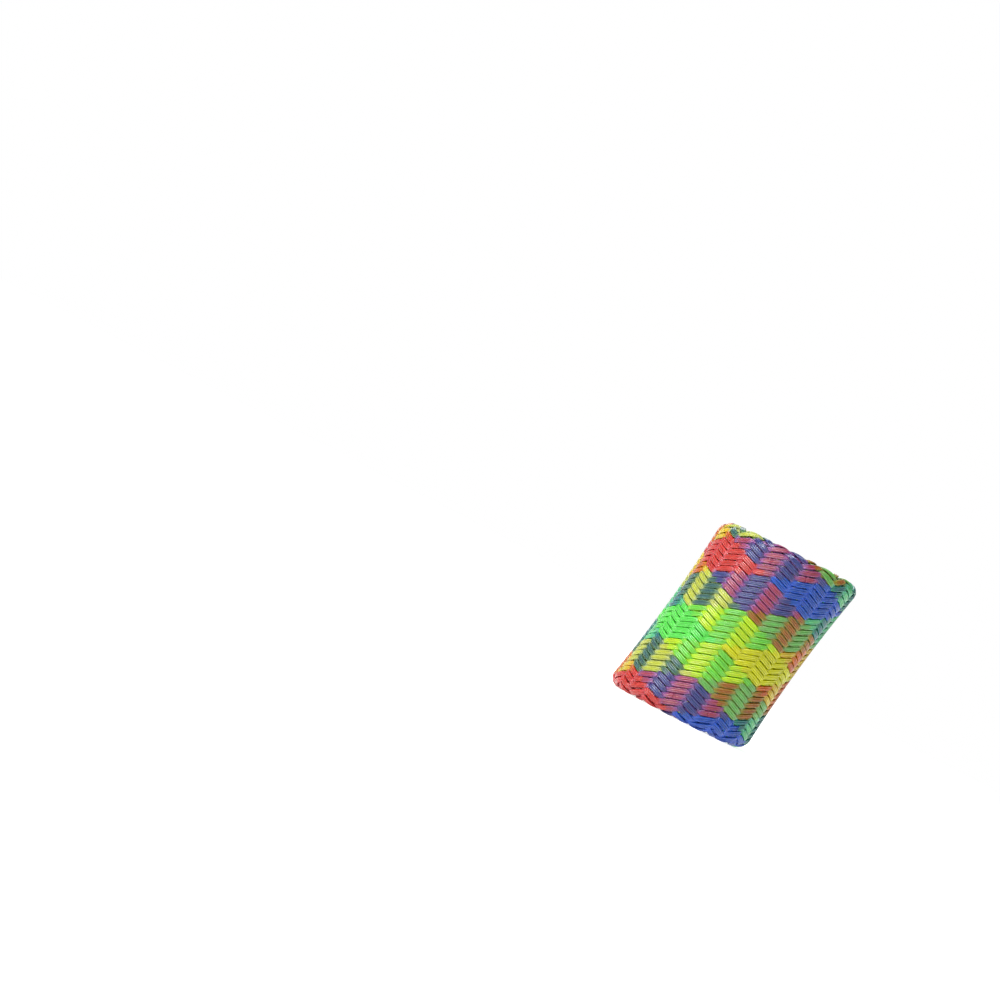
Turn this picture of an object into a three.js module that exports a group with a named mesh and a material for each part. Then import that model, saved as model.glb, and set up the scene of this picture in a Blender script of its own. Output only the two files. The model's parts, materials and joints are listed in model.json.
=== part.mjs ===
// Squeeze tube: a short springy sleeve braided from coloured monofilament, with both ends turned inside.
// Millimetres, +Z up. The tube stands on its lower rim, and the origin is below the middle of its bounding box.
//
// Two families of strands spiral round the wall in opposite senses. Each strand is a flat bundle of filaments.
// At each end the wall folds over in a round hem and runs back inside as a tucked wall, which ends in a melted
// edge. The upper tucked wall slides inside the lower one when the two rims are squeezed together.
import * as THREE from "three";

// Driving dimensions
const height = 30;
const waistRadius = 11.05; // outside of the wall at mid height
const rimRadius = 11.5; // outside of the wall at both hems
const leanAngle = THREE.MathUtils.degToRad(8.8); // the upper rim stands off towards +X by this angle
const strandsPerFamily = 24;
const strandsPerColour = 6;
const lead = 24.3; // rise of a strand in one turn
const strandWidth = 0.7;
const strandThickness = 0.22;
const strandDepth = { right: 0.53, left: 0.11 }; // from the outside of the wall to the middle of a strand
const strandSteps = 24; // facets along a strand, each one strand pitch high

// Where the middle of a family's first colour group crosses the front of the tube, and its colours from there up
const firstGroupHeight = { right: 16.2, left: 15.4 };
const colourOrder = {
  right: ["green", "blue", "red", "yellow"],
  left: ["yellow", "red", "blue", "green"],
};

const wallThickness = 0.56; // two strand layers
const cornerRadius = 1.65; // outside radius of each corner of a hem
const hemWidth = 3.7; // from the outside of the wall to the bore
const hemSkirt = 2.1; // how far the outer wall of a hem reaches from its rim
const lowerTuckTop = 15.9;
const upperTuckBottom = 12.6;
const upperTuckStep = { radius: 0.9, from: 28.3, to: 26.4 }; // the upper tuck steps in to clear the lower one
const edgeBead = { width: 0.66, height: 0.6, corner: 0.18, gap: 0.1 };
const ringSides = 36;
const cornerFacets = 4;

// Values that follow from them
const middle = height / 2;
const pitch = lead / strandsPerFamily;
const stepAngle = (2 * Math.PI) / strandsPerFamily;
const braidAngle = Math.atan(lead / (2 * Math.PI * waistRadius));
const frontAngle = -Math.PI / 2; // the front of the tube faces -Y
const bore = rimRadius - hemWidth;
const upperTuckBore = bore - upperTuckStep.radius;

const finishes = {
  red: { color: 0xd2402f, roughness: 0.3 },
  blue: { color: 0x1450b4, roughness: 0.3 },
  green: { color: 0x3fd455, roughness: 0.3 },
  yellow: { color: 0xe3dc14, roughness: 0.3 },
  hem: { color: 0x8a9a58, roughness: 0.4 },
  edge: { color: 0x6b6a4c, roughness: 0.55 },
};

// Leans the upright tube over: every level slides along X and keeps its height
const lean = new THREE.Matrix4()
  .makeShear(0, 0, 0, 0, Math.tan(leanAngle), 0)
  .multiply(new THREE.Matrix4().makeTranslation(0, 0, -middle))
  .premultiply(new THREE.Matrix4().makeTranslation(0, 0, middle));

// A mesh of one part, leaned with the whole tube
function part(name, geometry, finish) {
  const material = new THREE.MeshStandardMaterial({ ...finishes[finish], metalness: 0 });
  const mesh = new THREE.Mesh(geometry.applyMatrix4(lean), material);
  mesh.name = name;
  return mesh;
}

// Radius of the outside of the wall at a level: narrowest at the waist
function outsideRadius(z) {
  const share = (z - middle) / (middle - cornerRadius);
  return waistRadius + (rimRadius - waistRadius) * share * share;
}

// A strand of the outer wall: a long thin box wrapped round the tube, one facet for each strand pitch
function strandGeometry(hand, index) {
  const slope = hand === "right" ? 1 : -1;
  const frontHeight = firstGroupHeight[hand] + (index - (strandsPerColour - 1) / 2) * pitch;
  const middleAngle = frontAngle + (slope * (middle - frontHeight) * 2 * Math.PI) / lead;
  const upright = strandWidth / Math.cos(braidAngle);
  const box = new THREE.BoxGeometry(strandSteps, upright, strandThickness, strandSteps, 1, 1);
  const places = box.getAttribute("position");
  for (let i = 0; i < places.count; i++) {
    const angle = middleAngle + places.getX(i) * stepAngle;
    const level = middle + slope * places.getX(i) * pitch;
    const radius = outsideRadius(level) - strandDepth[hand] + places.getZ(i);
    places.setXYZ(i, radius * Math.cos(angle), radius * Math.sin(angle), level + places.getY(i));
  }
  return box;
}

// The strands of one family, numbered upwards from the first colour group at the front
function strandFamily(hand) {
  const family = new THREE.Group();
  for (let i = 0; i < strandsPerFamily; i++) {
    const colour = colourOrder[hand][Math.floor(i / strandsPerColour)];
    const number = String(i + 1).padStart(2, "0");
    family.add(part(`${hand}_strand_${number}`, strandGeometry(hand, i), colour));
  }
  return family;
}

// Points of a quarter round of a profile, from one angle to the next, in degrees
function corner(centreRadius, centreLevel, radius, from, to) {
  const points = [];
  for (let i = 0; i <= cornerFacets; i++) {
    const angle = THREE.MathUtils.degToRad(from + ((to - from) * i) / cornerFacets);
    points.push([centreRadius + radius * Math.cos(angle), centreLevel + radius * Math.sin(angle)]);
  }
  return points;
}

// A closed ring about Z from its profile, given as [radius, level] with the material on the left of its path
function ringGeometry(profile) {
  const points = [...profile, profile[0]].map(([radius, level]) => new THREE.Vector2(radius, level));
  return new THREE.LatheGeometry(points, ringSides).rotateX(Math.PI / 2);
}

// The profile of a hem that stands on level 0: the skirt, the fold and the tucked wall up to its free edge
function hemProfile(tuckWall) {
  const inner = cornerRadius - wallThickness;
  const outside = rimRadius - cornerRadius;
  const inside = bore + cornerRadius;
  return [
    [rimRadius, hemSkirt],
    [rimRadius - wallThickness, hemSkirt],
    ...corner(outside, cornerRadius, inner, 0, -90),
    ...corner(inside, cornerRadius, inner, -90, -180),
    ...tuckWall.map(([radius, level]) => [radius + wallThickness, level]),
    ...tuckWall.map(([radius, level]) => [radius, level]).reverse(),
    ...corner(inside, cornerRadius, cornerRadius, 180, 270),
    ...corner(outside, cornerRadius, cornerRadius, 270, 360),
  ];
}

// The same profile turned over, so that it hangs from the upper rim
function turnedOver(profile) {
  return profile.map(([radius, level]) => [radius, height - level]).reverse();
}

// The melted bead on the free edge of a tucked wall, from its lowest level
function edgeProfile(innerRadius, bottom) {
  const { width, height: tall, corner: round } = edgeBead;
  const low = innerRadius + wallThickness / 2 - width / 2;
  const high = low + width;
  return [
    [low + round, bottom],
    [high - round, bottom],
    [high, bottom + round],
    [high, bottom + tall - round],
    [high - round, bottom + tall],
    [low + round, bottom + tall],
    [low, bottom + tall - round],
    [low, bottom + round],
  ];
}

const lowerHem = hemProfile([[bore, lowerTuckTop]]);
const upperHem = turnedOver(
  hemProfile([
    [bore, height - upperTuckStep.from],
    [upperTuckBore, height - upperTuckStep.to],
    [upperTuckBore, height - upperTuckBottom],
  ]),
);
const lowerEdgeBottom = lowerTuckTop + edgeBead.gap;
const upperEdgeBottom = upperTuckBottom - edgeBead.gap - edgeBead.height;

const squeezeTube = new THREE.Group();
squeezeTube.name = "squeeze_tube";
squeezeTube.add(
  strandFamily("right"),
  strandFamily("left"),
  part("lower_hem", ringGeometry(lowerHem), "hem"),
  part("upper_hem", ringGeometry(upperHem), "hem"),
  part("lower_fused_edge", ringGeometry(edgeProfile(bore, lowerEdgeBottom)), "edge"),
  part("upper_fused_edge", ringGeometry(edgeProfile(upperTuckBore, upperEdgeBottom)), "edge"),
);

export default squeezeTube;
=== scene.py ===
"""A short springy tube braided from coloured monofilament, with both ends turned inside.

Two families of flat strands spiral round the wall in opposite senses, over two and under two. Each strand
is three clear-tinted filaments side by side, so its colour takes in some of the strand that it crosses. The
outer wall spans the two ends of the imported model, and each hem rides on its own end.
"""
import json
import logging
import math
from dataclasses import dataclass, field
from enum import Enum

import bpy
import numpy as np
from mathutils import Matrix, Vector


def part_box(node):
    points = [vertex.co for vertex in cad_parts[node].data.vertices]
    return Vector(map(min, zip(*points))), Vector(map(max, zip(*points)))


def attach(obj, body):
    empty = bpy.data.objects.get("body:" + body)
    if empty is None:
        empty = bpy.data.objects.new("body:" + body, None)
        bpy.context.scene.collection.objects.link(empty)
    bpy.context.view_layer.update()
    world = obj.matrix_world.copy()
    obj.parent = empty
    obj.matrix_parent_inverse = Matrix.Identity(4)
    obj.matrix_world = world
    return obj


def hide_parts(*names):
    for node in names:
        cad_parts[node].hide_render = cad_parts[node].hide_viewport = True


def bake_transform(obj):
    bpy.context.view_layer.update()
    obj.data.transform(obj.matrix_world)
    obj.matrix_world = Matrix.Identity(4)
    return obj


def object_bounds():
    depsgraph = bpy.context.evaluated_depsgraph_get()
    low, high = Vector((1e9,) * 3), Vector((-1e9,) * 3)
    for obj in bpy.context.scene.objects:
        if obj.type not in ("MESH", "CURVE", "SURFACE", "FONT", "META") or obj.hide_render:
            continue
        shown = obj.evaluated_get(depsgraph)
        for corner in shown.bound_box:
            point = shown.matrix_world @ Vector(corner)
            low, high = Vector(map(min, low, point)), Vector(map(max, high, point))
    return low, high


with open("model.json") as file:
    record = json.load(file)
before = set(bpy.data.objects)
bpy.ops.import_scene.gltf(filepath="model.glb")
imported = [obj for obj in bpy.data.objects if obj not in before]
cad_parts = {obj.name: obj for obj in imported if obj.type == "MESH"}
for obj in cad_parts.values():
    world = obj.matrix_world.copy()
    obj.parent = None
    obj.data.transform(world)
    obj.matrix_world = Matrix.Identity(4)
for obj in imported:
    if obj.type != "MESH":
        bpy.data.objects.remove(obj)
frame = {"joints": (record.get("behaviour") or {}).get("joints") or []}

CAD_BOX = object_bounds()

log = logging.getLogger("squeeze_tube")

MM = 0.001
FULL_TURN = 2.0 * math.pi
DISPLAY_GAMMA = 2.2
PLASTIC_IOR = 1.53
NOISE_SPAN = (0.3, 0.7)  # the part of a noise texture's range that it mostly takes
LOWER_BODY = "lower_end"
UPPER_BODY = "upper_end"
WALL_PITCHES = 24  # height of the stretching wall, in strand pitches


class Tint(Enum):
    """A filament colour.

    Each holds its material slot, its own sRGB colour, the sRGB colour that it lends to a strand over it,
    and how readily it takes in the colour of a strand under it. The lent colours of red, blue and green are
    lighter than their own, and red takes in the most: in part a painted sheen, the pink highlight where red
    crosses blue.
    """

    # Painted sheen: the lent colours are lighter than the tints' own and red's uptake is highest, so red
    # over blue is painted pink like a highlight.
    RED = ("red_filament", (0.62, 0.12, 0.02), (0.70, 0.29, 0.42), 1.15)
    BLUE = ("blue_filament", (0.00, 0.20, 0.43), (0.34, 0.43, 0.94), 1.0)
    GREEN = ("green_filament", (0.28, 0.68, 0.26), (0.34, 0.80, 0.26), 0.70)
    YELLOW = ("yellow_filament", (0.68, 0.69, 0.01), (0.68, 0.68, 0.02), 0.75)

    @property
    def slot(self) -> str:
        """The record's material slot."""
        return self.value[0]

    @property
    def colour(self) -> tuple[float, float, float]:
        """Its own colour."""
        return self.value[1]

    @property
    def lent_with_sheen(self) -> tuple[float, float, float]:
        """The colour that shows through a strand lying over it, mostly lighter than its own colour: in part
        a painted sheen.
        """
        return self.value[2]

    @property
    def uptake(self) -> float:
        """How readily it takes in the colour of a strand under it."""
        return self.value[3]

    @property
    def word(self) -> str:
        """The colour's name in lower case."""
        return self.name.lower()


class Hand(Enum):
    """Which way a family of strands climbs: anticlockwise seen from above is right-handed."""

    RIGHT = 1
    LEFT = -1

    @property
    def word(self) -> str:
        """The hand's name in lower case."""
        return self.name.lower()

    @property
    def other(self) -> "Hand":
        """The family that this one crosses."""
        return Hand.LEFT if self is Hand.RIGHT else Hand.RIGHT


class End(Enum):
    """One end of the tube, with the sign of its direction along the axis."""

    LOWER = -1
    UPPER = 1

    @property
    def word(self) -> str:
        """The end's name in lower case."""
        return self.name.lower()

    @property
    def body(self) -> str:
        """The CAD body that the end belongs to."""
        return UPPER_BODY if self is End.UPPER else LOWER_BODY


def smooth_step(value: np.ndarray, start: float, end: float) -> np.ndarray:
    """Rises smoothly from 0 at start to 1 at end.

    Args:
        value: Where to evaluate it.
        start: The value at which it leaves 0.
        end: The value at which it reaches 1.

    Returns:
        One share for each value.
    """
    share = np.clip((value - start) / (end - start), 0.0, 1.0)
    return share * share * (3.0 - 2.0 * share)


@dataclass(frozen=True)
class Braid:
    """The plan of the braid: how many strands there are, how they climb and where the colours lie."""

    strands: int = 24
    strands_per_colour: int = 6
    lead: float = 24.3 * MM
    float_period: float = math.radians(30.0)
    right_over_centre: float = math.radians(-9.65)
    float_flatness: float = 0.6
    first_group_height: dict[Hand, float] = field(
        default_factory=lambda: {Hand.RIGHT: 16.2 * MM, Hand.LEFT: 15.4 * MM}
    )
    colour_order: dict[Hand, tuple[Tint, ...]] = field(
        default_factory=lambda: {
            Hand.RIGHT: (Tint.GREEN, Tint.BLUE, Tint.RED, Tint.YELLOW),
            Hand.LEFT: (Tint.YELLOW, Tint.RED, Tint.BLUE, Tint.GREEN),
        }
    )

    @property
    def pitch(self) -> float:
        """Height from one strand to the next of its family."""
        return self.lead / self.strands

    def front_height(self, hand: Hand, index: int) -> float:
        """Height at which a strand crosses the front of the tube."""
        return self.first_group_height[hand] + (index - (self.strands_per_colour - 1) / 2) * self.pitch

    def tint(self, hand: Hand, index: int) -> Tint:
        """Colour of a strand from its number in its family."""
        return self.colour_order[hand][index // self.strands_per_colour]

    def over(self, hand: Hand, bearing: np.ndarray) -> np.ndarray:
        """How far a strand lies over the family that it crosses, by its place round the tube.

        Args:
            hand: The strand's family.
            bearing: Angles from the front of the tube, anticlockwise from above.

        Returns:
            1 in the middle of an over float and -1 in the middle of an under float.
        """
        wave = np.cos((bearing - self.right_over_centre) * FULL_TURN / self.float_period)
        return hand.value * wave * (1.0 + self.float_flatness - self.float_flatness * wave * wave)

    def colours_at(self, hand: Hand, front_height: np.ndarray) -> np.ndarray:
        """Colours that the strands of a family lend.

        Args:
            hand: The family.
            front_height: Heights at which the strands cross the front of the tube, in any turn.

        Returns:
            One sRGB colour for each height.
        """
        palette = np.array([tint.lent_with_sheen for tint in self.colour_order[hand]])
        group_height = self.strands_per_colour * self.pitch
        lowest = self.first_group_height[hand] - group_height / 2
        groups = np.floor((front_height - lowest) / group_height).astype(int) % len(palette)
        return palette[groups]


@dataclass(frozen=True)
class Wall:
    """The middle of the braided fabric, from mid height over one rim and back inside to the free edge.

    Its tucked wall steps in from fold_bore to tuck_bore, from step_from to step_to past the fold.
    """

    braid: Braid
    end: End
    height: float
    tuck_end: float
    tuck_bore: float
    fold_bore: float = 7.8 * MM
    step_from: float = 0.1 * MM
    step_to: float = 1.9 * MM
    waist_radius: float = 11.05 * MM
    rim_radius: float = 11.5 * MM
    half_thickness: float = 0.31 * MM
    table_step: float = 0.02 * MM

    @property
    def middle(self) -> float:
        """Mid height of the tube."""
        return self.height / 2

    @property
    def fold_radius(self) -> float:
        """Radius of the fold, at the middle of the fabric."""
        return (self.rim_radius - self.fold_bore) / 2 - self.half_thickness

    @property
    def fold_start(self) -> float:
        """Distance from mid height at which the outer wall starts to fold."""
        return self.middle - self.half_thickness - self.fold_radius

    @property
    def tuck_start(self) -> float:
        """Distance along the fabric at which the fold becomes the tucked wall."""
        return self.fold_start + math.pi * self.fold_radius

    @property
    def length(self) -> float:
        """Distance along the fabric from mid height to the free edge."""
        return self.tuck_start + self.fold_start - (self.tuck_end - self.middle) * self.end.value

    def outer_radius(self, rise: np.ndarray) -> np.ndarray:
        """Radius of the middle of the outer wall, which is narrowest at mid height."""
        share = (rise / self.fold_start) ** 2
        return self.waist_radius + (self.rim_radius - self.waist_radius) * share - self.half_thickness

    def section(self, way: np.ndarray) -> tuple[np.ndarray, np.ndarray, np.ndarray]:
        """Follows the fabric in a plane through the axis.

        Args:
            way: Distances along the fabric from mid height.

        Returns:
            The radius, the rise from mid height, and the angle of the outward face, which is 0 on the
            outer wall, a right angle at the rim and half a turn on the tucked wall.
        """
        turned = np.clip((way - self.fold_start) / self.fold_radius, 0.0, math.pi)
        centre = self.outer_radius(np.array(self.fold_start)) - self.fold_radius
        tuck = np.maximum(way - self.tuck_start, 0.0)
        inward = (self.fold_bore - self.tuck_bore) * smooth_step(tuck, self.step_from, self.step_to)
        folded = centre + self.fold_radius * np.cos(turned) - inward
        radius = np.where(way < self.fold_start, self.outer_radius(way), folded)
        rise = np.minimum(way, self.fold_start) + self.fold_radius * np.sin(turned) - tuck
        return radius, rise, turned

    def local_lead(self, radius: np.ndarray) -> np.ndarray:
        """Rise of a strand in one turn at each radius: the sides of a braid's diamonds keep their length."""
        rim = self.outer_radius(np.array(self.fold_start))
        half_round = math.pi / self.braid.strands
        side_squared = (self.braid.pitch / 2) ** 2 + (half_round * rim) ** 2
        return 2 * self.braid.strands * np.sqrt(side_squared - (half_round * radius) ** 2)

    def turn(self, way: np.ndarray) -> np.ndarray:
        """Angle that a strand has turned through since mid height, by its distance along the fabric."""
        table = np.arange(self.fold_start, self.length + self.table_step, self.table_step)
        leads = self.local_lead(self.section(table)[0])
        rates = FULL_TURN / leads
        steps = (rates[1:] + rates[:-1]) / 2 * self.table_step
        start = FULL_TURN * self.fold_start / self.braid.lead
        turned = start + np.concatenate([[0.0], np.cumsum(steps)])
        on_wall = FULL_TURN * way / self.braid.lead
        return np.where(way < self.fold_start, on_wall, np.interp(way, table, turned))


@dataclass(frozen=True)
class FilamentFinish:
    """Clear-tinted, glossy drawn filament, with faint streaks along it.

    It takes in part of the colour that it crosses: share_middle of it in the middle of an over float,
    share_end at the float's ends, and share_side more on the two outer filaments. Where it lies under the
    crossing family, its colour is darkened a little as a painted shade.
    """

    tint: Tint
    share_middle: float = 0.24
    share_end: float = 0.40
    share_side: float = 0.08
    share_span: tuple[float, float] = (0.2, 1.0)
    # painted shade: how dark a filament's colour is made where it lies under the crossing strand
    shade_under: float = 0.95
    shade_span: tuple[float, float] = (-0.7, 0.5)
    roughness: tuple[float, float] = (0.16, 0.32)
    gloss: float = 0.42
    clearness: float = 0.8
    clear_depth: float = 0.4 * MM
    streaks_along: float = 60.0
    streaks_round: float = 5.0
    streak_detail: float = 3.0
    streak_light: tuple[float, float] = (0.94, 1.05)
    bump_height: float = 0.012 * MM

    def build(self) -> bpy.types.Material:
        """Makes the material.

        Returns:
            A material that reads the attributes crossing_colour, over, side and shade, and the UV map.
        """
        material = bpy.data.materials.new(self.tint.slot)
        material.use_nodes = True
        tree = material.node_tree
        shader = tree.nodes["Principled BSDF"]
        shader.inputs["IOR"].default_value = PLASTIC_IOR
        shader.inputs["Specular IOR Level"].default_value = self.gloss
        shader.inputs["Subsurface Weight"].default_value = self.clearness
        shader.inputs["Subsurface Radius"].default_value = (1.0, 1.0, 1.0)
        shader.inputs["Subsurface Scale"].default_value = self.clear_depth

        over = attribute_node(tree, "over").outputs["Fac"]
        shares = self.share_end * self.tint.uptake, self.share_middle * self.tint.uptake
        share = map_range(tree, over, self.share_span, shares)
        beside = multiply(tree, attribute_node(tree, "side").outputs["Fac"], self.share_side)
        # The crossing colour is the other strand's lent colour, which carries in part a painted sheen.
        crossed = attribute_node(tree, "crossing_colour").outputs["Color"]
        seen = mix_colours(tree, add(tree, share, beside), (*self.tint.colour, 1.0), crossed)
        as_light = tree.nodes.new("ShaderNodeGamma")
        as_light.inputs["Gamma"].default_value = DISPLAY_GAMMA
        tree.links.new(seen, as_light.inputs["Color"])

        # Painted shade: the colour darkens where the strand sinks under the crossing family.
        depth = map_range(tree, over, self.shade_span, (self.shade_under, 1.0))
        light = multiply(tree, depth, attribute_node(tree, "shade").outputs["Fac"])
        streak = self.streaks(tree)
        light = multiply(tree, light, map_range(tree, streak, NOISE_SPAN, self.streak_light))
        shaded = scale_colour(tree, as_light.outputs["Color"], light)
        tree.links.new(shaded, shader.inputs["Base Color"])

        rough = map_range(tree, streak, NOISE_SPAN, self.roughness)
        tree.links.new(rough, shader.inputs["Roughness"])
        tree.links.new(bump_normal(tree, streak, self.bump_height), shader.inputs["Normal"])
        return material

    def streaks(self, tree: bpy.types.NodeTree) -> bpy.types.NodeSocket:
        """Adds the faint lines that drawing leaves along a filament, and returns their value."""
        uv = tree.nodes.new("ShaderNodeUVMap")
        uv.uv_map = "UVMap"
        stretch = tree.nodes.new("ShaderNodeMapping")
        stretch.inputs["Scale"].default_value = (self.streaks_along, self.streaks_round, 1.0)
        noise = tree.nodes.new("ShaderNodeTexNoise")
        noise.inputs["Scale"].default_value = 1.0
        noise.inputs["Detail"].default_value = self.streak_detail
        tree.links.new(uv.outputs["UV"], stretch.inputs["Vector"])
        tree.links.new(stretch.outputs["Vector"], noise.inputs["Vector"])
        return noise.outputs["Fac"]


def attribute_node(tree: bpy.types.NodeTree, name: str) -> bpy.types.ShaderNodeAttribute:
    """Adds a node that reads an attribute of the piece."""
    node = tree.nodes.new("ShaderNodeAttribute")
    node.attribute_name = name
    return node


def map_range(
    tree: bpy.types.NodeTree,
    value: bpy.types.NodeSocket,
    source: tuple[float, float],
    target: tuple[float, float],
) -> bpy.types.NodeSocket:
    """Adds a Map Range node.

    Args:
        tree: The material's node tree.
        value: The socket to read.
        source: The range that is read.
        target: The range that it becomes.

    Returns:
        The node's result.
    """
    node = tree.nodes.new("ShaderNodeMapRange")
    tree.links.new(value, node.inputs["Value"])
    node.inputs["From Min"].default_value, node.inputs["From Max"].default_value = source
    node.inputs["To Min"].default_value, node.inputs["To Max"].default_value = target
    return node.outputs["Result"]


def combine(
    tree: bpy.types.NodeTree,
    operation: str,
    first: bpy.types.NodeSocket,
    second: bpy.types.NodeSocket | float,
) -> bpy.types.NodeSocket:
    """Adds a Math node.

    Args:
        tree: The material's node tree.
        operation: What the node does.
        first: The socket of its first value.
        second: The socket of its second value, or the value itself.

    Returns:
        The node's result.
    """
    node = tree.nodes.new("ShaderNodeMath")
    node.operation = operation
    tree.links.new(first, node.inputs[0])
    if isinstance(second, float):
        node.inputs[1].default_value = second
    else:
        tree.links.new(second, node.inputs[1])
    return node.outputs["Value"]


def multiply(
    tree: bpy.types.NodeTree, first: bpy.types.NodeSocket, second: bpy.types.NodeSocket | float
) -> bpy.types.NodeSocket:
    """Multiplies two values, and returns the result."""
    return combine(tree, "MULTIPLY", first, second)


def add(
    tree: bpy.types.NodeTree, first: bpy.types.NodeSocket, second: bpy.types.NodeSocket
) -> bpy.types.NodeSocket:
    """Adds two values, and returns the result."""
    return combine(tree, "ADD", first, second)


def scale_colour(
    tree: bpy.types.NodeTree, colour: bpy.types.NodeSocket, light: bpy.types.NodeSocket
) -> bpy.types.NodeSocket:
    """Makes a colour lighter or darker by a factor, and returns the result."""
    node = tree.nodes.new("ShaderNodeVectorMath")
    node.operation = "SCALE"
    tree.links.new(colour, node.inputs[0])
    tree.links.new(light, node.inputs["Scale"])
    return node.outputs["Vector"]


def bump_normal(
    tree: bpy.types.NodeTree, height: bpy.types.NodeSocket, distance: float
) -> bpy.types.NodeSocket:
    """Adds a Bump node of the given depth, and returns its normal."""
    node = tree.nodes.new("ShaderNodeBump")
    node.inputs["Distance"].default_value = distance
    tree.links.new(height, node.inputs["Height"])
    return node.outputs["Normal"]


def mix_colours(
    tree: bpy.types.NodeTree,
    share: bpy.types.NodeSocket,
    first: tuple[float, float, float, float],
    second: bpy.types.NodeSocket,
) -> bpy.types.NodeSocket:
    """Adds a colour Mix node.

    Args:
        tree: The material's node tree.
        share: How much of the second is taken.
        first: The first colour.
        second: The socket of the second colour.

    Returns:
        The mixed colour.
    """
    node = tree.nodes.new("ShaderNodeMix")
    node.data_type = "RGBA"
    tree.links.new(share, node.inputs["Factor"])
    first_colour, second_colour = [socket for socket in node.inputs if socket.type == "RGBA"]
    first_colour.default_value = first
    tree.links.new(second, second_colour)
    return next(socket for socket in node.outputs if socket.type == "RGBA")


@dataclass(frozen=True)
class Ribbon:
    """The outline of a strand: three round filaments side by side, fused into one scalloped ribbon.

    The filaments stand at the first spacing where the strand lies under, at the second where it crosses
    over and at the third in the middle of an over float. The crown raises the middle filament.
    """

    filament: float = 0.30 * MM
    spacing: tuple[float, float, float] = (0.285 * MM, 0.21 * MM, 0.285 * MM)
    crown: float = 0.03 * MM
    outer_angles: tuple[float, ...] = (60.0, 90.0, 135.0, 180.0, 225.0, 270.0, 300.0)
    inner_angles: tuple[float, ...] = (120.0, 90.0, 60.0)

    def points(self) -> list[tuple[float, float]]:
        """Points of the outline, each as the number of its filament and its angle round it in degrees.

        Returns:
            The points in order. A half-way filament number is a valley between two filaments.
        """
        left = [(-1.0, angle) for angle in self.outer_angles]
        below = [(0.0, -angle) for angle in self.inner_angles]
        right = [(1.0, 180.0 + angle) for angle in self.outer_angles]
        above = [(0.0, angle) for angle in reversed(self.inner_angles)]
        return [*left, (-0.5, -90.0), *below, (0.5, -90.0), *right, (0.5, 90.0), *above, (-0.5, 90.0)]

    def numbers(self) -> np.ndarray:
        """Filament number of each point of the outline, from -1 to 1."""
        return np.array([number for number, _ in self.points()])

    def outline(self, over: np.ndarray) -> tuple[np.ndarray, np.ndarray]:
        """Places of the outline's points at each point along a strand.

        Args:
            over: How far the strand lies over the other family, which sets how far its filaments spread.

        Returns:
            The offsets across the strand and outwards, with a row for each point along it.
        """
        number, angle = np.array(self.points()).T
        turn = np.radians(angle)
        spacing = np.interp(over, [-1.0, 0.0, 1.0], self.spacing)[:, None]
        radius = self.filament / 2
        valley = np.abs(number) == 0.5
        depth = np.sqrt(radius * radius - spacing * spacing / 4)
        across = number * spacing + np.where(valley, 0.0, radius * np.cos(turn))
        outwards = np.sin(turn) * np.where(valley, depth, radius)
        share = across / (spacing + radius)
        return across, outwards + self.crown * (1.0 - share * share)


@dataclass
class Thread:
    """One laid-out strand: its middle line, its rings of surface points and what each point carries."""

    line: np.ndarray
    surface: np.ndarray
    crossing_colour: np.ndarray
    over: np.ndarray
    side: np.ndarray
    shade: np.ndarray


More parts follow.
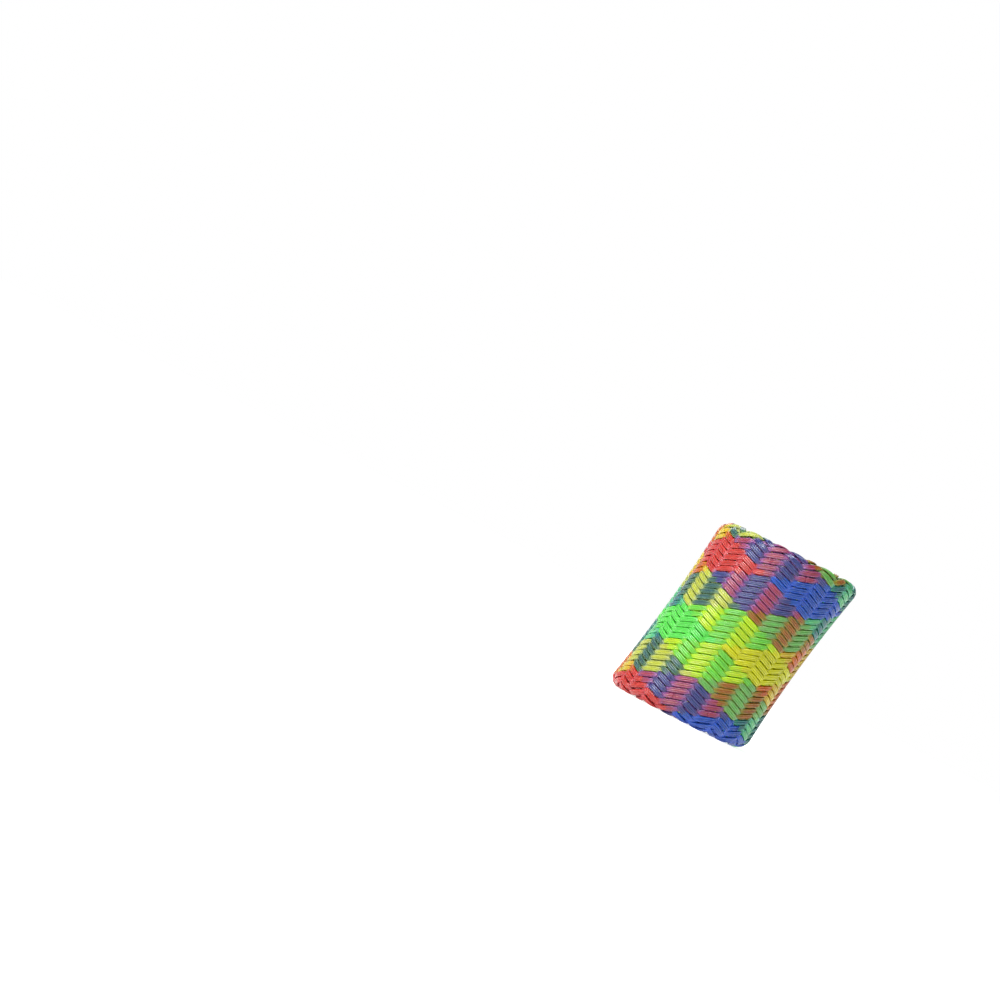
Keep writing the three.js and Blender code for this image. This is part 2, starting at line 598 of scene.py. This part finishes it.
@dataclass
class Loom:
    """Lays strands along the fabric as ribbons of filaments, and makes them into pieces.

    A strand rises and sinks through the fabric by weave, drifts sideways by drift over each drift_length,
    and its filaments differ in shade by up to shade_spread.
    """

    braid: Braid
    lean: Matrix
    finishes: dict[Tint, bpy.types.Material]
    ribbon: Ribbon = Ribbon()
    weave: float = 0.155 * MM
    shade_spread: float = 0.09
    drift: float = 0.03 * MM
    drift_length: float = 9.0 * MM
    weld: float = 0.001 * MM
    seed: int = 11

    def home(self, wall: Wall, hand: Hand, index: int) -> float:
        """Bearing from the front of the tube at which a strand passes mid height."""
        rise = wall.middle - self.braid.front_height(hand, index)
        return hand.value * rise * FULL_TURN / self.braid.lead

    def lay(self, wall: Wall, hand: Hand, index: int, ways: np.ndarray) -> Thread:
        """Lays out one strand.

        Args:
            wall: The fabric that it follows.
            hand: The strand's family.
            index: Its number in the family.
            ways: Distances along the fabric from mid height, negative towards the lower end.

        Returns:
            The strand's surface, with the colours that it crosses.
        """
        luck = np.random.default_rng([self.seed, hand.value + 1, index])
        side = np.where(ways < 0, -1.0, 1.0)
        radius, rise, face = wall.section(np.abs(ways))
        turn = side * wall.turn(np.abs(ways))
        bearing = self.home(wall, hand, index) + hand.value * turn
        over = self.braid.over(hand, bearing)

        zeros, ones = np.zeros_like(bearing), np.ones_like(bearing)
        radial = np.stack([np.sin(bearing), -np.cos(bearing), zeros], axis=1)
        upward = np.stack([zeros, zeros, ones], axis=1)
        outward = radial * np.cos(face)[:, None] + upward * (side * np.sin(face))[:, None]
        centre = radial * radius[:, None] + upward * (wall.middle + side * rise)[:, None]
        centre += outward * (self.weave * over)[:, None]
        along = np.gradient(centre, axis=0)
        across = np.cross(outward, along)
        across /= np.linalg.norm(across, axis=1)[:, None]

        wander = self.drift * np.sin(FULL_TURN * (ways / self.drift_length + luck.random()))
        aside, outwards = self.ribbon.outline(over)
        aside = aside + wander[:, None]
        surface = centre[:, None] + across[:, None] * aside[..., None]
        surface += outward[:, None] * outwards[..., None]
        number = self.ribbon.numbers()
        tone = 1.0 + luck.uniform(-self.shade_spread, self.shade_spread, 3)
        other = hand.other
        crossed_home = bearing - other.value * turn
        crossed_height = wall.middle - other.value * crossed_home * self.braid.lead / FULL_TURN
        rows = np.ones((len(ways), 1))
        return Thread(
            line=centre,
            surface=surface,
            crossing_colour=np.repeat(self.braid.colours_at(other, crossed_height), len(number), axis=0),
            over=np.repeat(over, len(number)),
            side=(rows * np.abs(number)).ravel(),
            shade=(rows * np.interp(number, [-1.0, 0.0, 1.0], tone)).ravel(),
        )

    def make_piece(self, name: str, tint: Tint, threads: list[Thread]) -> bpy.types.Object:
        """Makes one piece from strands of one colour.

        Args:
            name: The piece's name.
            tint: The colour of its strands.
            threads: The strands, all with the same number of points.

        Returns:
            A welded, closed mesh in place, with its finish and attributes.
        """
        curve = bpy.data.curves.new(name, "CURVE")
        curve.dimensions = "3D"
        curve.bevel_depth = self.ribbon.filament / 2
        curve.bevel_resolution = (len(self.ribbon.points()) - 4) // 2
        curve.use_fill_caps = True
        for thread in threads:
            spline = curve.splines.new("POLY")
            spline.points.add(len(thread.line) - 1)
            places = np.column_stack([thread.line, np.ones(len(thread.line))])
            spline.points.foreach_set("co", places.ravel())
        piece = bpy.data.objects.new(name, curve)
        bpy.context.collection.objects.link(piece)
        select_only(piece)
        bpy.ops.object.convert(target="MESH")
        piece = bpy.context.object
        self.shape(piece.data, threads)
        weld(piece, self.weld)
        piece.data.transform(self.lean)
        bpy.ops.object.shade_smooth()
        piece.data.materials.append(self.finishes[tint])
        return piece

    def shape(self, mesh: bpy.types.Mesh, threads: list[Thread]) -> None:
        """Gives a converted mesh the outline of its strands, and each point what its strand carries.

        The conversion puts the end caps first, from the last strand to the first, and then one ring of
        points for each point of each strand.

        Args:
            mesh: The mesh, before it is welded.
            threads: The strands that it was made from.
        """
        ring = len(self.ribbon.points())

        def with_caps(runs: list[np.ndarray]) -> np.ndarray:
            """Puts each run's two end rings before all the runs."""
            caps = [cap for run in reversed(runs) for cap in (run[-ring:], run[:ring])]
            return np.concatenate(caps + runs).astype(np.float32)

        places = with_caps([thread.surface.reshape(-1, 3) for thread in threads])
        mesh.vertices.foreach_set("co", places.ravel())
        colours = with_caps([thread.crossing_colour for thread in threads])
        write_colours(mesh, "crossing_colour", colours)
        for attribute in ("over", "side", "shade"):
            made = mesh.attributes.new(attribute, "FLOAT", "POINT")
            made.data.foreach_set("value", with_caps([getattr(thread, attribute) for thread in threads]))


def write_colours(mesh: bpy.types.Mesh, name: str, rows: np.ndarray) -> None:
    """Gives a mesh a colour attribute from one red, green and blue row for each point."""
    colour = mesh.attributes.new(name, "FLOAT_COLOR", "POINT")
    with_alpha = np.column_stack([rows, np.ones(len(rows))])
    colour.data.foreach_set("color", with_alpha.astype(np.float32).ravel())


def select_only(piece: bpy.types.Object) -> None:
    """Selects one object, makes it active and deselects the rest."""
    bpy.ops.object.select_all(action="DESELECT")
    piece.select_set(True)
    bpy.context.view_layer.objects.active = piece


def weld(piece: bpy.types.Object, distance: float) -> None:
    """Joins points that lie within a distance of each other and turns the faces outwards."""
    select_only(piece)
    bpy.ops.object.mode_set(mode="EDIT")
    bpy.ops.mesh.select_all(action="SELECT")
    bpy.ops.mesh.remove_doubles(threshold=distance)
    bpy.ops.mesh.normals_make_consistent(inside=False)
    bpy.ops.object.mode_set(mode="OBJECT")


@dataclass
class OuterWall:
    """The strands between the two hems. The still length at each end is not used."""

    loom: Loom
    wall: Wall
    reach: float
    points_per_pitch: int = 8
    still: float = 0.2 * MM

    def build(self) -> list[bpy.types.Object]:
        """Makes one piece for each strand, in place of its CAD node.

        Returns:
            The pieces.
        """
        steps = round(2 * self.reach / self.loom.braid.pitch) * self.points_per_pitch
        ways = np.linspace(-self.reach, self.reach, steps + 1)
        pieces = []
        for hand in Hand:
            for index in range(self.loom.braid.strands):
                tint = self.loom.braid.tint(hand, index)
                thread = self.loom.lay(self.wall, hand, index, ways)
                number = f"{index + 1:02d}"
                piece = self.loom.make_piece(f"braided_{hand.word}_strand_{number}", tint, [thread])
                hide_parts(f"{hand.word}_strand_{number}")
                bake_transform(piece)
                pieces.append(piece)
        log.info("outer wall: %d strands", len(pieces))
        return pieces


@dataclass
class Hem:
    """One folded rim with its tucked wall. It keeps its shape and moves with its end."""

    loom: Loom
    wall: Wall
    reach: float
    fold_points: int = 40
    tuck_points: int = 76

    @property
    def end(self) -> End:
        """The end that it finishes."""
        return self.wall.end

    def ways(self) -> np.ndarray:
        """Places of the points along the fabric, close together on the fold."""
        fold = np.linspace(self.reach, self.wall.tuck_start, self.fold_points)
        tuck = np.linspace(self.wall.tuck_start, self.wall.length, self.tuck_points)
        return self.end.value * np.concatenate([fold, tuck[1:]])

    def build(self) -> list[bpy.types.Object]:
        """Makes one piece for each colour of each family.

        Returns:
            The pieces, which together stand for the CAD hem.
        """
        ways = self.ways()
        braid = self.loom.braid
        pieces = []
        for hand in Hand:
            for tint in Tint:
                numbers = [i for i in range(braid.strands) if braid.tint(hand, i) is tint]
                threads = [self.loom.lay(self.wall, hand, i, ways) for i in numbers]
                name = f"{self.end.word}_hem_{hand.word}_{tint.word}"
                piece = self.loom.make_piece(name, tint, threads)
                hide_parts(f"{self.end.word}_hem")
                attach(piece, self.end.body)
                pieces.append(piece)
        log.info("%s hem: %d pieces", self.end.word, len(pieces))
        return pieces


@dataclass(frozen=True)
class MeltedFinish:
    """Melted filament: the strand colours run together and darkened, with a dull skin."""

    slot: str = "fused_edge"
    lumps_per_metre: float = 1400.0
    lump_detail: float = 4.0
    lightness: tuple[float, float] = (0.35, 0.8)
    roughness: tuple[float, float] = (0.3, 0.55)
    bump_height: float = 0.03 * MM

    def build(self) -> bpy.types.Material:
        """Makes the material, which reads the attribute melted_colour and Object coordinates."""
        material = bpy.data.materials.new(self.slot)
        material.use_nodes = True
        tree = material.node_tree
        shader = tree.nodes["Principled BSDF"]
        shader.inputs["IOR"].default_value = PLASTIC_IOR
        place = tree.nodes.new("ShaderNodeTexCoord")
        noise = tree.nodes.new("ShaderNodeTexNoise")
        noise.inputs["Scale"].default_value = self.lumps_per_metre
        noise.inputs["Detail"].default_value = self.lump_detail
        tree.links.new(place.outputs["Object"], noise.inputs["Vector"])
        lumps = noise.outputs["Fac"]
        melted = attribute_node(tree, "melted_colour").outputs["Color"]
        shaded = scale_colour(tree, melted, map_range(tree, lumps, NOISE_SPAN, self.lightness))
        tree.links.new(shaded, shader.inputs["Base Color"])
        rough = map_range(tree, lumps, NOISE_SPAN, self.roughness)
        tree.links.new(rough, shader.inputs["Roughness"])
        tree.links.new(bump_normal(tree, lumps, self.bump_height), shader.inputs["Normal"])
        return material


@dataclass
class FusedEdge:
    """The melted bead along the free edge of a tucked wall, with a drop at the end of each strand."""

    loom: Loom
    wall: Wall
    finish: bpy.types.Material
    bead_radius: float = 0.24 * MM
    drop_radius: float = 0.31 * MM
    drop_spread: float = 0.14
    drop_shift: float = 0.1 * MM
    drop_subdivisions: int = 3
    bead_segments: int = 192
    bead_sides: int = 12
    colour_spread: float = math.radians(5.0)
    voxel: float = 0.08 * MM
    smooth_rounds: int = 4
    seed: int = 5

    def build(self) -> bpy.types.Object:
        """Makes the bead.

        Returns:
            One closed piece that rides on its end.
        """
        name = f"{self.wall.end.word}_fused_edge"
        low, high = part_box(name)
        level = (low.z + high.z) / 2
        radius = float(self.wall.section(np.array([self.wall.length]))[0][0])
        bpy.ops.object.select_all(action="DESELECT")
        bpy.ops.mesh.primitive_torus_add(
            location=(0.0, 0.0, level),
            major_radius=radius,
            minor_radius=self.bead_radius,
            major_segments=self.bead_segments,
            minor_segments=self.bead_sides,
        )
        parts = [bpy.context.object] + self.drops(radius, level)
        for part in parts:
            part.select_set(True)
        bpy.context.view_layer.objects.active = parts[0]
        bpy.ops.object.join()
        piece = bpy.context.object
        piece.name = f"melted_{self.wall.end.word}_edge"
        select_only(piece)
        bpy.ops.object.transform_apply(location=True, rotation=True, scale=True)
        fuse = piece.modifiers.new("fuse", "REMESH")
        fuse.mode = "VOXEL"
        fuse.voxel_size = self.voxel
        bpy.ops.object.modifier_apply(modifier=fuse.name)
        melt = piece.modifiers.new("melt", "SMOOTH")
        melt.iterations = self.smooth_rounds
        bpy.ops.object.modifier_apply(modifier=melt.name)
        self.colour(piece.data)
        piece.data.transform(self.loom.lean)
        bpy.ops.object.shade_smooth()
        piece.data.materials.clear()
        piece.data.materials.append(self.finish)
        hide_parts(name)
        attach(piece, self.wall.end.body)
        log.info("%s: %d faces", piece.name, len(piece.data.polygons))
        return piece

    def strand_ends(self) -> list[tuple[float, Tint]]:
        """Bearing and colour of each strand where it ends, over both families."""
        braid, side = self.loom.braid, self.wall.end.value
        turn = side * float(self.wall.turn(np.array([self.wall.length]))[0])
        return [
            (self.loom.home(self.wall, hand, index) + hand.value * turn, braid.tint(hand, index))
            for hand in Hand
            for index in range(braid.strands)
        ]

    def drops(self, radius: float, level: float) -> list[bpy.types.Object]:
        """Makes a melted drop at the end of each strand.

        Args:
            radius: Radius of the free edge.
            level: Height of the bead's middle.

        Returns:
            The drops, still as separate objects.
        """
        luck = np.random.default_rng(self.seed)
        made = []
        for bearing, _ in self.strand_ends():
            size = self.drop_radius * (1.0 + luck.uniform(-self.drop_spread, self.drop_spread))
            shift = luck.uniform(-self.drop_shift, self.drop_shift)
            place = (radius * math.sin(bearing), -radius * math.cos(bearing), level + shift)
            bpy.ops.mesh.primitive_ico_sphere_add(
                subdivisions=self.drop_subdivisions, radius=size, location=place
            )
            made.append(bpy.context.object)
        return made

    def colour(self, mesh: bpy.types.Mesh) -> None:
        """Gives each point the colours of the strands that melted there, run together."""
        points = np.empty(len(mesh.vertices) * 3, np.float32)
        mesh.vertices.foreach_get("co", points)
        points = points.reshape(-1, 3)
        bearings = np.arctan2(points[:, 0], -points[:, 1])
        total, weight = np.zeros((len(points), 3)), np.zeros(len(points))
        for bearing, tint in self.strand_ends():
            away = np.remainder(bearings - bearing + math.pi, FULL_TURN) - math.pi
            near = np.exp(-((away / self.colour_spread) ** 2))
            total += near[:, None] * np.array(tint.colour) ** DISPLAY_GAMMA
            weight += near
        write_colours(mesh, "melted_colour", total / weight[:, None])


@dataclass(frozen=True)
class SoftLight:
    """A rectangular area light that faces the tube, at its place from the tube's middle."""

    name: str
    up: float
    back: float
    width: float
    breadth: float
    watts: float
    right: float = 0.0

    def place(self, middle: Vector, axes: tuple[Vector, Vector, Vector]) -> None:
        """Adds the light.

        Args:
            middle: The middle of the tube.
            axes: The picture's rightward and upward directions and the direction to the camera.
        """
        right, up, back = axes
        offset = self.right * right + self.up * up + self.back * back
        data = bpy.data.lights.new(self.name, "AREA")
        data.shape = "RECTANGLE"
        data.size, data.size_y = self.width, self.breadth
        data.energy = self.watts
        light = bpy.data.objects.new(self.name, data)
        bpy.context.collection.objects.link(light)
        light.location = middle + offset
        facing = offset.normalized()
        across = (right - facing * facing.dot(right)).normalized()
        turned = Matrix((across, facing.cross(across), facing)).transposed()
        light.rotation_mode = "QUATERNION"
        light.rotation_quaternion = turned.to_quaternion()


@dataclass
class Studio:
    """The floor, the lights and the camera."""

    middle: Vector
    lights: tuple[SoftLight, ...] = (
        SoftLight("key", up=0.52, back=0.24, width=0.55, breadth=0.12, watts=5.3),
        SoftLight("fill", up=0.0, back=0.50, width=0.16, breadth=0.16, watts=0.5, right=-0.25),
        SoftLight("back", up=0.35, back=-0.45, width=0.30, breadth=0.30, watts=0.8),
    )
    floor_size: float = 4.0
    floor_gap: float = 0.05 * MM
    camera_distance: float = 0.5
    camera_clip: tuple[float, float] = (0.01, 20.0)
    lens_mm: float = 118.6
    sensor_mm: float = 36.0
    roll: float = math.radians(27.2)
    aim_right: float = 0.234
    aim_down: float = 0.135
    world_strength: float = 0.32
    floor_shade: float = 0.8

    def build(self) -> None:
        """Sets up the whole stage."""
        self.lay_floor()
        self.surround()
        for light in self.lights:
            light.place(self.middle, self.view_axes())
        self.set_camera()
        bpy.context.scene.view_settings.view_transform = "Standard"
        log.info("stage: floor, %d lights and camera", len(self.lights))

    def lay_floor(self) -> None:
        """Lays a plain pale floor under the tube, glowing just enough to match the surround."""
        bpy.ops.object.select_all(action="DESELECT")
        bpy.ops.mesh.primitive_plane_add(size=self.floor_size, location=(0.0, 0.0, -self.floor_gap))
        floor = bpy.context.object
        floor.name = "floor"
        material = bpy.data.materials.new("pale_floor")
        material.use_nodes = True
        shader = material.node_tree.nodes["Principled BSDF"]
        shade = (self.floor_shade, self.floor_shade, self.floor_shade, 1.0)
        shader.inputs["Base Color"].default_value = shade
        shader.inputs["Roughness"].default_value = 1.0
        shader.inputs["Specular IOR Level"].default_value = 0.0
        shader.inputs["Emission Color"].default_value = (1.0, 1.0, 1.0, 1.0)
        shader.inputs["Emission Strength"].default_value = 1.0 - self.floor_shade * self.world_strength
        floor.data.materials.append(material)

    def surround(self) -> None:
        """Adds a dim surround that looks white behind the tube."""
        world = bpy.data.worlds.new("surround")
        world.use_nodes = True
        nodes, links = world.node_tree.nodes, world.node_tree.links
        ray = nodes.new("ShaderNodeLightPath")
        strength = nodes.new("ShaderNodeMapRange")
        strength.inputs["To Min"].default_value = self.world_strength
        strength.inputs["To Max"].default_value = 1.0
        links.new(ray.outputs["Is Camera Ray"], strength.inputs["Value"])
        nodes["Background"].inputs["Color"].default_value = (1.0, 1.0, 1.0, 1.0)
        links.new(strength.outputs["Result"], nodes["Background"].inputs["Strength"])
        bpy.context.scene.world = world

    def view_axes(self) -> tuple[Vector, Vector, Vector]:
        """The picture's rightward and upward directions, and the direction to the camera."""
        right = Vector((math.cos(self.roll), 0.0, math.sin(self.roll)))
        back = Vector((0.0, -1.0, 0.0))
        return right, back.cross(right), back

    def set_camera(self) -> None:
        """Looks level at the front of the tube, rolled, with the tube off the middle of the frame."""
        data = bpy.data.cameras.new("camera")
        data.lens = self.lens_mm
        data.sensor_width = self.sensor_mm
        data.clip_start, data.clip_end = self.camera_clip
        camera = bpy.data.objects.new("camera", data)
        bpy.context.collection.objects.link(camera)
        right, up, back = self.view_axes()
        square_on = Matrix((right, up, back)).transposed().to_quaternion()
        field_of_view = self.sensor_mm / self.lens_mm
        to_tube = Vector((self.aim_right * field_of_view, -self.aim_down * field_of_view, -1.0))
        camera.rotation_mode = "QUATERNION"
        camera.rotation_quaternion = square_on @ to_tube.rotation_difference(Vector((0.0, 0.0, -1.0)))
        camera.location = self.middle + back * self.camera_distance
        bpy.context.scene.camera = camera


def lean_matrix(height: float) -> Matrix:
    """Leans the upright tube over along the model's slide: a level moves along X and keeps its height."""
    slide = Vector(frame["joints"][0]["axis"])
    lean = Matrix.Identity(4)
    lean[0][2] = slide.x / slide.z
    lean[0][3] = -lean[0][2] * height / 2
    return lean


def main() -> None:
    """Builds the stage and the tube."""
    logging.basicConfig(level=logging.INFO, format="%(message)s")
    low, high = CAD_BOX
    Studio(middle=(low + high) / 2).build()

    height = high.z - low.z
    braid = Braid()
    finishes = {tint: FilamentFinish(tint).build() for tint in Tint}
    loom = Loom(braid, lean_matrix(height), finishes)
    lower = Wall(braid, End.LOWER, height, tuck_end=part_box("lower_hem")[1].z, tuck_bore=7.8 * MM)
    upper = Wall(braid, End.UPPER, height, tuck_end=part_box("upper_hem")[0].z, tuck_bore=6.9 * MM)
    reach = WALL_PITCHES / 2 * braid.pitch
    OuterWall(loom, upper, reach).build()
    melted = MeltedFinish().build()
    for wall in (lower, upper):
        Hem(loom, wall, reach).build()
        FusedEdge(loom, wall, melted).build()


if __name__ == "__main__":
    main()
